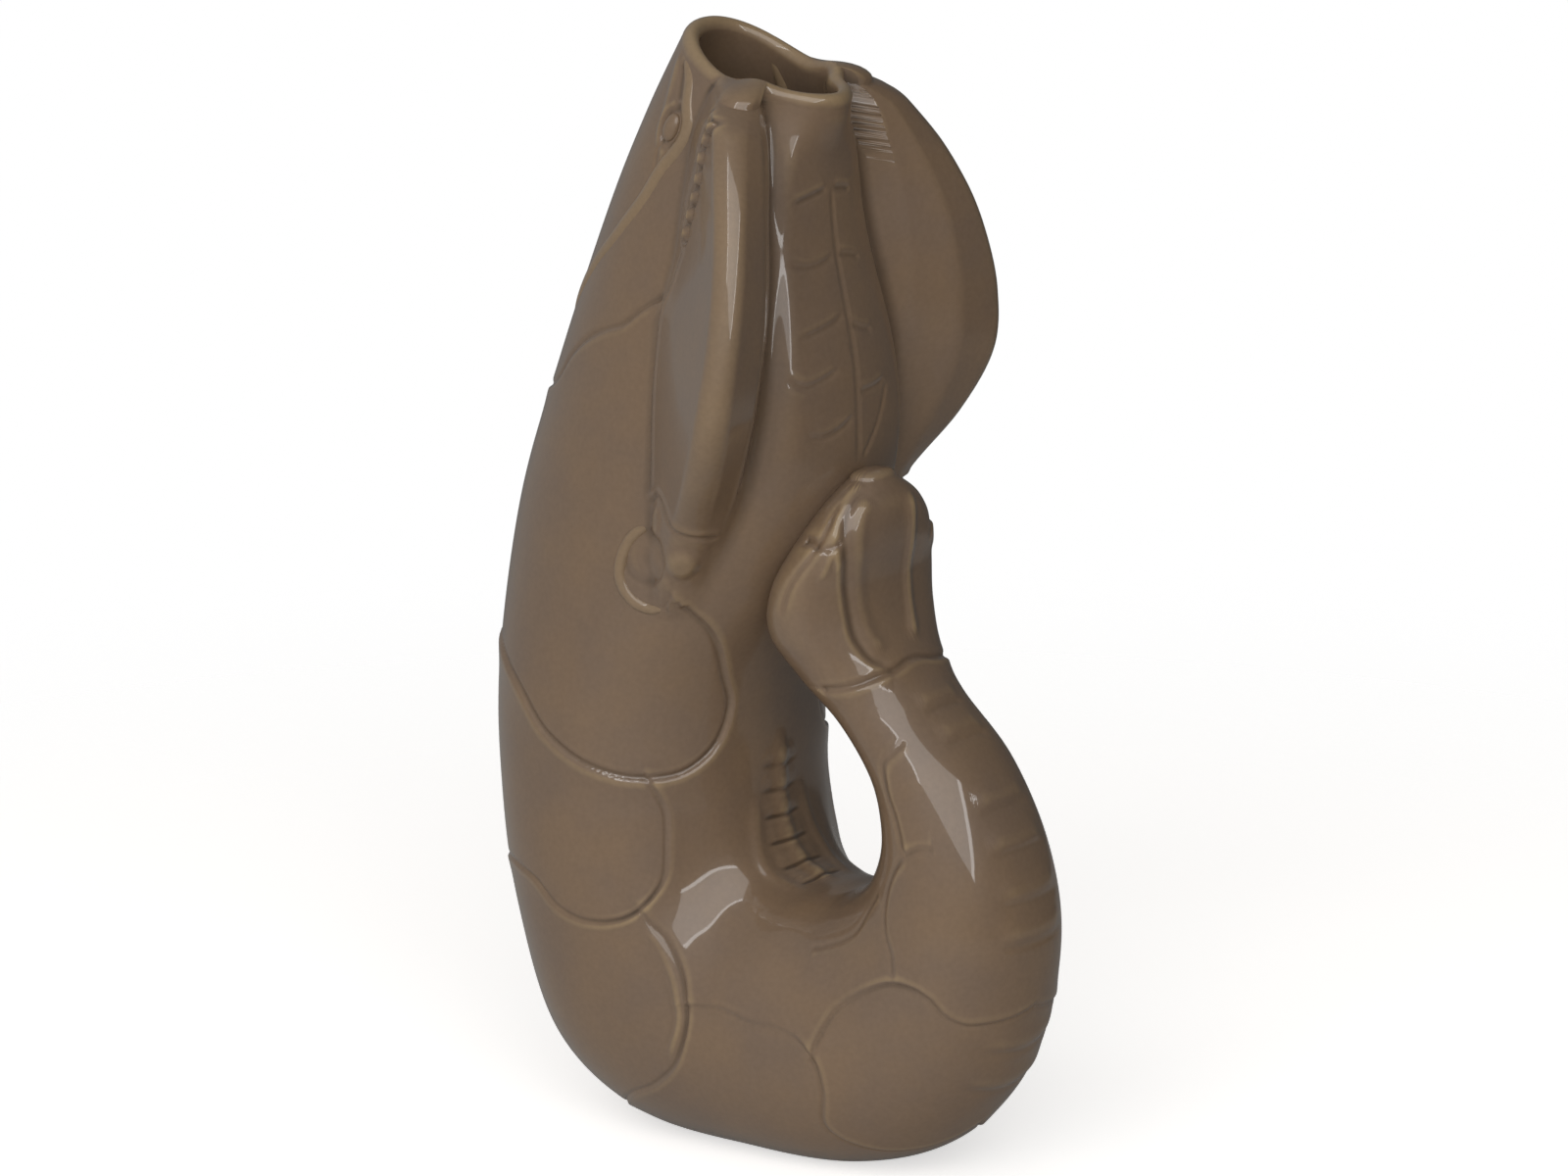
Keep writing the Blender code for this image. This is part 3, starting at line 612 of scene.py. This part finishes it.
# The inner wall is the plain oval less the wall, from the rim to the tail's end
innerStations = np.interp(np.linspace(0, 1, vessel["innerRows"]) ** 1.3, [0, 1],
                          [vessel["rimStation"], vessel["hollowEnd"]])
innerGrid = np.meshgrid(innerStations, even, indexing="ij")[0]
innerAngles = np.array([np.interp(innerStations, rowStations, angles[:, j]) for j in range(len(even))]).T
middle, across, depth, width = cutAt(innerGrid)
inset = vessel["wall"] + (vessel["rimWidth"] - vessel["wall"]) * (1 - smooth(0.1, 1.0, innerGrid))
inner = place(middle, across, innerAngles,
              oval(innerAngles, depth, width) + mouthShape(innerGrid, innerAngles) - inset)
inner[..., 2] -= sink(innerGrid, innerAngles)
inner[..., 2] = np.maximum(inner[..., 2], vessel["hollowLow"])
inner[:, 0, 1] = inner[:, -1, 1] = 0
pole = np.repeat(inner[-1].mean(0, keepdims=True) * [1, 0, 1], len(even), axis=0)

# One closed grid: the hollow's end, inner wall, rim, outer skin and the fan's tip
halves = {}
tipUp = np.array([0.05, 0, 1.0])
for side in relief:
    lifted = halfSkin + halfNormals * relief[side][..., None]
    lifted[..., 2] = np.where(halfSkin[..., 2] <= 1e-6, 0, np.maximum(lifted[..., 2], 0))
    lifted[:, 0, 1] = lifted[:, -1, 1] = 0
    rim = [lifted[0] + row for row in arch]
    tipMiddle = lifted[-1].mean(0) * [1, 0, 1]
    tip = [tipMiddle + (lifted[-1] - tipMiddle) * np.cos(t) + tipUp * vessel["tipHeight"] * np.sin(t)
           for t in np.linspace(0, np.pi / 2, vessel["tipRows"] + 1)[1:]]
    halves[side] = np.concatenate([pole[None], inner[::-1], rim[::-1], lifted, tip])


def wholeTurn(far, near):
    # both halves as one turn round the tube, without doubling the belly and back lines
    return np.concatenate([far, near[:, -2:0:-1]], axis=1)


firstRimRow = vessel["innerRows"] + 1
firstSkinRow = firstRimRow + vessel["rimRows"]
skinRows = slice(firstSkinRow, firstSkinRow + rowCount)
points = wholeTurn(halves["far"], halves["near"] * [1, -1, 1])
points[..., 0] += shift
normals = gridNormals(points, True)
if normals[firstSkinRow + rowCount // 3, len(even) // 2, 1] < 0:
    normals = -normals
normals[0], normals[-1] = normals[1].mean(0), tipUp
normals /= np.linalg.norm(normals, axis=-1, keepdims=True)


def blurred(values, times):
    for turn in range(times):
        values = (values + np.roll(values, 1, 1) + np.roll(values, -1, 1)) / 3
        values[1:-1] = (values[:-2] + values[1:-1] + values[2:]) / 3
    return values


# Bend of the surface at each point, in turns per millimetre: the glaze runs thin where it is high, its
# lighter colour partly a painted highlight, and pools where it is below 0, its darker colour partly painted
# shade
bendLimit = 1.2
bend = np.zeros(points.shape[:2])
for axis in (0, 1):
    ahead = np.roll(points, -2, axis) - np.roll(points, 2, axis)
    turn = np.roll(normals, -2, axis) - np.roll(normals, 2, axis)
    bend += (ahead * turn).sum(-1) / np.maximum((ahead ** 2).sum(-1), 1e-12)
bend[:3] = bend[-3:] = 0
bend = blurred(np.clip(bend * mm, -bendLimit, bendLimit), 3)
print("grid closed,", points.shape)


def linear(hexColour):
    # sRGB hex to the linear values that a shader works with
    values = np.array([int(hexColour[i:i + 2], 16) for i in (1, 3, 5)]) / 255
    values = np.where(values <= 0.04045, values / 12.92, ((values + 0.055) / 1.055) ** 2.4)
    return (*values, 1.0)


def addNode(tree, kind, settings=None, links=None, **inputs):
    node = tree.nodes.new(kind)
    for key, value in (settings or {}).items():
        setattr(node, key, value)
    for key, value in inputs.items():
        node.inputs[key.replace("_", " ")].default_value = value
    for key, source in (links or {}).items():
        tree.links.new(source, node.inputs[key])
    return node


def addMix(tree, factor, low, high, blend="MIX"):
    # mixes two colours; each of the three is a value or the output of another node
    node = addNode(tree, "ShaderNodeMix", {"data_type": "RGBA", "blend_type": blend})
    for socket, source in zip((0, 6, 7), (factor, low, high)):
        if isinstance(source, bpy.types.NodeSocket):
            tree.links.new(source, node.inputs[socket])
        else:
            node.inputs[socket].default_value = source
    return node.outputs[2]


def addRange(tree, source, span, target=(0.0, 1.0), shape="LINEAR"):
    # maps the span of values onto the target
    return addNode(tree, "ShaderNodeMapRange", {"interpolation_type": shape}, {"Value": source},
                   From_Min=span[0], From_Max=span[1], To_Min=target[0], To_Max=target[1]).outputs[0]


def newMaterial(name):
    material = bpy.data.materials.new(name)
    material.use_nodes = True
    material.node_tree.nodes.clear()
    return material, material.node_tree


# Glazed slip-cast earthenware: an opaque taupe gloss glaze that breaks lighter and yellower where it runs
# thin over edges and pools darker in cut lines, with a slight mottle and a wavy, orange-peel gloss.
# The lighter edge colour is partly a painted highlight on crests and plate edges, and the darker colour in
# cut lines is partly painted shade
glazeLook = {
    "body": "#796552",
    "thinGlazeAndPaintedHighlight": "#9A8464",
    "pooledGlazeAndPaintedShade": "#4A3C2F",
    "warm": "#806951",
    "cool": "#736152",
    "mottleMm": 22.0,
    "mottleSpan": (0.35, 0.65),
    "mottleShare": 0.5,
    "thinGlazeAndHighlightBend": (0.09, 0.50),  # turns per mm over which the glaze thins and the painted highlight comes in
    # turns per mm over which the glaze pools and the painted shade comes in
    "pooledGlazeAndShadeBend": (-0.07, -0.55),
    "bendShare": 0.85,
    "speckMm": 1.3,
    "speckSpan": (0.3, 0.7),
    "speckTone": (0.96, 1.04),
    "waveMm": 9.0,
    "waveStrength": 0.35,
    "waveHeight": 0.00012,
    "roughness": 0.32,
    "shine": 0.15,
    "gloss": 0.05,  # roughness of the clear top of the glaze
    "glossIor": 1.5,
}


def glazeMaterial(name, look):
    material, tree = newMaterial(name)
    where = addNode(tree, "ShaderNodeTexCoord").outputs["Object"]

    def noise(size, detail, roughness):
        return addNode(tree, "ShaderNodeTexNoise", links={"Vector": where}, Scale=1000 / size, Detail=detail,
                       Roughness=roughness).outputs["Fac"]

    mottle = noise(look["mottleMm"], 3.0, 0.55)
    speck = noise(look["speckMm"], 2.0, 0.5)
    wave = noise(look["waveMm"], 1.0, 0.4)
    bendAt = addNode(tree, "ShaderNodeAttribute", {"attribute_name": "bend"}).outputs["Fac"]
    patches = addRange(tree, mottle, look["mottleSpan"])
    tone = addMix(tree, patches, linear(look["cool"]), linear(look["warm"]))
    colour = addMix(tree, look["mottleShare"], linear(look["body"]), tone)
    # outward bends go lighter, thin glaze and partly a painted highlight; cut lines go darker, pooled glaze
    # and partly painted shade
    for span, shade in (("thinGlazeAndHighlightBend", "thinGlazeAndPaintedHighlight"), ("pooledGlazeAndShadeBend", "pooledGlazeAndPaintedShade")):
        share = addRange(tree, bendAt, look[span], (0.0, look["bendShare"]))
        colour = addMix(tree, share, colour, linear(look[shade]))
    specks = addRange(tree, speck, look["speckSpan"], look["speckTone"])
    colour = addMix(tree, 1.0, colour, specks, "MULTIPLY")
    bump = addNode(tree, "ShaderNodeBump", links={"Height": wave}, Strength=look["waveStrength"],
                   Distance=look["waveHeight"])
    shader = addNode(tree, "ShaderNodeBsdfPrincipled",
                     links={"Base Color": colour, "Coat Normal": bump.outputs["Normal"]},
                     Roughness=look["roughness"], Specular_IOR_Level=look["shine"], Coat_Weight=1.0,
                     Coat_Roughness=look["gloss"], Coat_IOR=look["glossIor"])
    addNode(tree, "ShaderNodeOutputMaterial", links={"Surface": shader.outputs["BSDF"]})
    return material


taupeGlaze = glazeMaterial("taupeGlossGlazeOnSlipCastEarthenware", glazeLook)
sprigGlaze = glazeMaterial("taupeGlossGlazeThinOverSprigs", {**glazeLook, "body": "#7F6A55"})


def makePiece(name, coords, faces, vertexNormals, bendValues, material, nodes):
    mesh = bpy.data.meshes.new(name)
    mesh.from_pydata(coords.tolist(), [], faces.tolist())
    mesh.update()
    attribute = mesh.attributes.new("bend", "FLOAT", "POINT")
    attribute.data.foreach_set("value", bendValues.astype(np.float32))
    mesh.shade_smooth()
    mesh.normals_split_custom_set_from_vertices(vertexNormals.tolist())
    mesh.materials.append(material)
    made = bpy.data.objects.new(name, mesh)
    bpy.context.scene.collection.objects.link(made)
    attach(made, "root")
    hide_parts(*nodes)

# Where the grid is parted into pieces, by station
parting = {
    "shell": (("head", 0.0, 2.9), ("carapace", 2.9, 5.2), ("abdomenUpper", 5.2, 7.2),
              ("abdomenLower", 7.2, 9.2), ("foot", 9.2, 11.6), ("tailRoot", 11.6, 14.6),
              ("tailEnd", 14.6, 23.0)),
    "clawLift": 0.0006,       # a claw starts where the skin stands this far out of the oval
    "clawEnd": 5.0,
    "fan": 17.85,
    # station and degrees of the line between the fan's middle and side plates
    "telson": ((17.9, 160), (18.22, 133), (18.70, 128), (19.29, 127.5), (20.02, 123), (20.67, 118),
               (21.42, 110.5), (22.07, 106), (22.53, 111), (23.0, 125)),
}
rows, columns = points.shape[:2]
upper, left = np.meshgrid(np.arange(rows - 1), np.arange(columns), indexing="ij")
right = (left + 1) % columns
corners = np.stack([upper * columns + left, upper * columns + right,
                    (upper + 1) * columns + right, (upper + 1) * columns + left], -1)
flatPoints, flatNormals, flatBend = points.reshape(-1, 3), normals.reshape(-1, 3), bend.reshape(-1)
probe = flatPoints[corners[rows // 2, 10]]
if np.cross(probe[1] - probe[0], probe[3] - probe[0]) @ normals[rows // 2, 10] < 0:
    corners = corners[..., ::-1]
allStations = np.concatenate([np.zeros(firstSkinRow), rowStations, np.full(vessel["tipRows"], 23.0)])
faceStation = (allStations[:-1] + allStations[1:])[:, None] / 2 + 0 * left
clawLift = np.zeros((rows, columns))
clawLift[skinRows] = wholeTurn(radius - bareRadius, radius - bareRadius)
faceAngle = np.zeros((rows, columns))
faceAngle[skinRows] = np.degrees(wholeTurn(angles, angles))
faceAngle[skinRows.stop:] = faceAngle[skinRows.stop - 1]
isOuter = upper >= firstSkinRow - 1
isFar = points[:-1, :, 1] > 0
inClaw = isOuter & (clawLift[:-1] > parting["clawLift"]) & (faceStation < parting["clawEnd"])
inWrist = inClaw & (points[:-1, :, 2] < claws["wristTop"])
inFan = isOuter & (faceStation > parting["fan"])
inTelson = inFan & (faceAngle[:-1] > np.interp(faceStation, *np.transpose(parting["telson"])))
masks = {
    "innerWall": (~isOuter & (upper < firstRimRow - 1), "vessel_body", "body_glaze"),
    "rim": (~isOuter & (upper >= firstRimRow - 1), "vessel_body", "body_glaze"),
}
for name, low, high in parting["shell"]:
    mask = isOuter & ~inClaw & ~inFan & (faceStation >= low) & (faceStation < high)
    masks[name] = (mask, "tail_handle" if low >= vessel["tailJoint"] else "vessel_body", "body_glaze")
masks.update({
    "telson": (inTelson, "telson", "fan_glaze"),
    "uropodLeft": (inFan & ~inTelson & isFar, "uropod_left", "fan_glaze"),
    "uropodRight": (inFan & ~inTelson & ~isFar, "uropod_right", "fan_glaze"),
    "clawLeft": (inClaw & ~inWrist & isFar, "claw_left", "claw_glaze"),
    "clawRight": (inClaw & ~inWrist & ~isFar, "claw_right", "claw_glaze"),
    "wristLeft": (inWrist & isFar, "wrist_left", "claw_glaze"),
    "wristRight": (inWrist & ~isFar, "wrist_right", "claw_glaze"),
})
for name, (mask, node, slot) in masks.items():
    quads = corners[mask]
    used, inverse = np.unique(quads, return_inverse=True)
    makePiece(name, flatPoints[used], inverse.reshape(quads.shape), flatNormals[used], flatBend[used],
              taupeGlaze, (node,))
    print(name, len(quads) * 2, "triangles")

# Sprigs: small clay pieces put on the skin
sprigs = {
    "antennaPath": ((0.06, 138), (0.25, 118), (0.55, 107.2), (0.75, 100), (0.91, 98.5), (1.08, 100.5),
                    (1.30, 105.5), (1.72, 112), (2.09, 124), (2.38, 138.5), (2.58, 147), (2.80, 152.5)),
    "antennaSize": (0.0026, 0.0019),  # radius, and how deep its middle lies under the skin
    "antennaBend": 0.28,  # how thin the glaze lies on it
    "elbowPath": ((3.93, 71.5), (4.00, 75.5), (4.12, 77.8), (4.24, 77.2), (4.34, 73.8), (4.41, 69),
                  (4.45, 63.5), (4.45, 58.5)),
    "elbowSize": (0.0017, 0.0008),
    "elbowBend": 0.25,
    "eyeHalf": (0.0037, 0.0024, 0.0017),
    "eyeBend": 0.12,
}


def ringQuads(count, turns):
    # faces between rings of points that close on themselves
    i, j = np.meshgrid(np.arange(count - 1), np.arange(turns), indexing="ij")
    k = (j + 1) % turns
    quads = np.stack([i * turns + j, i * turns + k, (i + 1) * turns + k, (i + 1) * turns + j], -1)
    return quads.reshape(-1, 4).tolist()


def outwards(faces, flat, normals, probe):
    # all faces turned over if the probe face looks inwards
    a, b, c = (flat[faces[probe][n]] for n in (0, 1, 3))
    if np.cross(b - a, c - a) @ normals[faces[probe][0]] < 0:
        return [face[::-1] for face in faces]
    return faces


def rod(path, radiusOf, depth, sign, turns=20):
    # tube along a path on the skin: rings of points a radius from the path, thinned to nothing at both ends
    line, share = onSkin(path, 0.0006)
    tangent = np.gradient(line, axis=0)
    tangent /= np.linalg.norm(tangent, axis=1, keepdims=True)
    index = [np.argmin(((halfSkin - p) ** 2).sum(-1)) for p in line]
    normal = halfNormals.reshape(-1, 3)[index]
    for turn in range(6):
        normal[1:-1] = (normal[:-2] + normal[1:-1] + normal[2:]) / 3
    normal -= tangent * (normal * tangent).sum(1, keepdims=True)
    normal /= np.linalg.norm(normal, axis=1, keepdims=True)
    side = np.cross(tangent, normal)
    size = radiusOf * (0.02 + 0.98 * np.sqrt(np.clip(1 - (2 * share - 1) ** 8, 0, 1)))
    angle = np.linspace(0, 2 * np.pi, turns, endpoint=False)
    ring = normal[:, None] * np.sin(angle)[None, :, None] + side[:, None] * np.cos(angle)[None, :, None]
    coords = (line - normal * depth)[:, None] + ring * size[:, None, None]
    coords = coords * [1, sign, 1] + [shift, 0, 0]
    ring = ring * [1, sign, 1]
    first, last = len(line) * turns, len(line) * turns + 1
    base = first - turns
    flat = np.concatenate([coords.reshape(-1, 3), [coords[0].mean(0)], [coords[-1].mean(0)]])
    ends = tangent[[0, -1]] * [[-1], [1]] * [1, sign, 1]
    normals = np.concatenate([ring.reshape(-1, 3), ends])
    faces = ringQuads(len(line), turns) + [[first, t, (t + 1) % turns] for t in range(turns)]
    faces += [[last, base + (t + 1) % turns, base + t] for t in range(turns)]
    return flat, outwards(faces, flat, normals, 5 * turns), normals


def bead(center, along, half, sign, turns=48, steps=24):
    # half sunk ellipsoid on the skin, its long axis laid along the direction given
    middle, u, v, normal, gaps = localFrame(center, along)
    polar, around = np.meshgrid(np.linspace(0, np.pi, steps),
                                np.linspace(0, 2 * np.pi, turns, endpoint=False), indexing="ij")
    local = np.stack([np.sin(polar) * np.cos(around), np.sin(polar) * np.sin(around), np.cos(polar)], -1)
    axes = np.stack([u, v, normal])
    normals = (local / half) @ axes
    normals /= np.linalg.norm(normals, axis=-1, keepdims=True)
    coords = (middle + (local * half) @ axes) * [1, sign, 1] + [shift, 0, 0]
    flat, flatNormals = coords.reshape(-1, 3), (normals * [1, sign, 1]).reshape(-1, 3)
    return flat, outwards(ringQuads(steps, turns), flat, flatNormals, 9 * turns), flatNormals


for sideName, sign in (("Left", 1), ("Right", -1)):
    for name, made, cadName in (
            ("antenna", rod(sprigs["antennaPath"], *sprigs["antennaSize"], sign), "antenna_"),
            ("elbow", rod(sprigs["elbowPath"], *sprigs["elbowSize"], sign), "elbow_ring_"),
            ("eye", bead(head["eye"], head["eyeLie"], sprigs["eyeHalf"], sign), "eye_")):
        coords, faces, normalsOf = made
        pieceName = {"elbow": "elbowRing"}.get(name, name) + sideName
        makePiece(pieceName, coords, np.array(faces, dtype=object), normalsOf,
                  np.full(len(coords), sprigs[name + "Bend"]), sprigGlaze,
                  (cadName + sideName.lower(),))
print("sprigs set")


def toward(azimuth, elevation):
    # direction from the vase, in degrees: 0 is from -Y and 90 is from +X
    a, e = np.radians(azimuth), np.radians(elevation)
    return Vector((np.sin(a) * np.cos(e), -np.cos(a) * np.cos(e), np.sin(e)))


view = {
    "azimuth": 38.0,
    "elevation": 14.4,
    "distance": 1.6,
    "aimHeight": 0.145,
    "lens": 145.07,
    "shiftX": 0.0053,
    "shiftY": -0.0019,
}
back = toward(view["azimuth"], view["elevation"])
cameraData = bpy.data.cameras.new("camera")
cameraData.sensor_width = 36
cameraData.lens = view["lens"]
cameraData.shift_x, cameraData.shift_y = view["shiftX"], view["shiftY"]
camera = bpy.data.objects.new("camera", cameraData)
bpy.context.scene.collection.objects.link(camera)
camera.location = Vector((shift, 0, view["aimHeight"])) + back * view["distance"]
camera.rotation_mode = "QUATERNION"
camera.rotation_quaternion = (-back).to_track_quat("-Z", "Y")
bpy.context.scene.camera = camera


def softBox(name, azimuth, elevation, distance, width, height, brightness, diffuse=True, glossy=True,
            roll=0.0, aside=0.0):
    # a panel facing the vase, turned by the roll and moved aside along its own width; it can be left
    # out of the light on matt surfaces or out of what a gloss mirrors
    data = bpy.data.lights.new(name, "AREA")
    data.shape, data.size, data.size_y = "RECTANGLE", width, height
    data.energy = np.pi * width * height * brightness
    light = bpy.data.objects.new(name, data)
    bpy.context.scene.collection.objects.link(light)
    away = toward(azimuth, elevation)
    light.location = Vector((0, 0, 0.14)) + away * distance
    light.rotation_mode = "QUATERNION"
    light.rotation_quaternion = away.to_track_quat("Z", "Y") @ Quaternion((0, 0, 1), np.radians(roll))
    light.location += light.rotation_quaternion @ Vector((aside, 0, 0))
    light.visible_camera = False
    light.visible_diffuse, light.visible_glossy = diffuse, glossy


# Two panels light the glaze's colour, and a window with two brighter edges shows only in its gloss
window = {"azimuth": 60, "elevation": 41, "height": 1.25, "diffuse": False, "roll": -32}
edge = {**window, "distance": 1.48, "width": 0.10, "brightness": 5.5}
lights = {
    "key": {"azimuth": 26, "elevation": 28, "distance": 1.6, "width": 1.7, "height": 1.3, "brightness": 2.15,
            "glossy": False},
    "rightFill": {"azimuth": 60, "elevation": 24, "distance": 1.6, "width": 1.2, "height": 1.0,
                  "brightness": 0.98, "glossy": False},
    "window": {**window, "distance": 1.5, "width": 1.30, "brightness": 1.8},
    "windowLeft": {**edge, "aside": -0.68},
    "windowRight": {**edge, "aside": 0.68},
}
for name, values in lights.items():
    softBox(name, **values)

# The room: white to the camera, and a dim soft light from the left for everything else
room = {"brightFrom": (-0.50, -0.80, 0.33), "dark": 0.07, "bright": 0.38, "spread": 0.75,
        "colour": (1, 0.96, 0.92, 1)}
world = bpy.data.worlds.new("studio")
bpy.context.scene.world = world
world.use_nodes = True
tree = world.node_tree
tree.nodes.clear()
path = addNode(tree, "ShaderNodeLightPath")
white = addNode(tree, "ShaderNodeBackground", Strength=1.0, Color=(1, 1, 1, 1))
ray = addNode(tree, "ShaderNodeTexCoord")
facing = addNode(tree, "ShaderNodeVectorMath", {"operation": "DOT_PRODUCT"}, {0: ray.outputs["Generated"]})
facing.inputs[1].default_value = room["brightFrom"]
level = addRange(tree, facing.outputs["Value"], (-room["spread"], room["spread"]),
                 (room["dark"], room["bright"]), "SMOOTHSTEP")
fill = addNode(tree, "ShaderNodeBackground", links={"Strength": level}, Color=room["colour"])
pick = addNode(tree, "ShaderNodeMixShader", links={0: path.outputs["Is Camera Ray"], 1: fill.outputs[0],
                                                  2: white.outputs[0]})
addNode(tree, "ShaderNodeOutputWorld", links={"Surface": pick.outputs[0]})

# Pale paper floor that keeps the shadow and fades into the white round it
floorLook = {
    "half": 0.9,
    "fade": (0.22, 0.62),     # metres from the vase
    "paper": "#F4F3F1",
    "lift": 0.60,             # added for the camera alone
    "dim": 0.7,               # how much of it is left out of what the glaze mirrors
}
half = floorLook["half"]
floorMesh = bpy.data.meshes.new("floor")
floorMesh.from_pydata([(-half, -half, 0), (half, -half, 0), (half, half, 0), (-half, half, 0)], [],
                      [(0, 1, 2, 3)])
floor = bpy.data.objects.new("floor", floorMesh)
bpy.context.scene.collection.objects.link(floor)
floorMaterial, tree = newMaterial("paleStudioPaper")
where = addNode(tree, "ShaderNodeTexCoord")
away = addNode(tree, "ShaderNodeVectorMath", {"operation": "LENGTH"}, {0: where.outputs["Object"]})
fading = addRange(tree, away.outputs["Value"], floorLook["fade"], shape="SMOOTHSTEP")
paper = addNode(tree, "ShaderNodeBsdfDiffuse", Color=linear(floorLook["paper"]))
path = addNode(tree, "ShaderNodeLightPath")
seen = addNode(tree, "ShaderNodeMath", {"operation": "MULTIPLY"}, {0: path.outputs["Is Camera Ray"]})
seen.inputs[1].default_value = floorLook["lift"]
lift = addNode(tree, "ShaderNodeEmission", links={"Strength": seen.outputs[0]})
lit = addNode(tree, "ShaderNodeAddShader", links={0: paper.outputs[0], 1: lift.outputs[0]})
clear = addNode(tree, "ShaderNodeBsdfTransparent")
dim = addNode(tree, "ShaderNodeMath", {"operation": "MULTIPLY"}, {0: path.outputs["Is Glossy Ray"]})
dim.inputs[1].default_value = floorLook["dim"]
gone = addNode(tree, "ShaderNodeMath", {"operation": "MAXIMUM"}, {0: fading, 1: dim.outputs[0]})

faded = addNode(tree, "ShaderNodeMixShader",
                links={0: gone.outputs[0], 1: lit.outputs[0], 2: clear.outputs[0]})
addNode(tree, "ShaderNodeOutputMaterial", links={"Surface": faded.outputs[0]})
floorMesh.materials.append(floorMaterial)

scene = bpy.context.scene
scene.view_settings.view_transform = "Standard"
print("stage set")
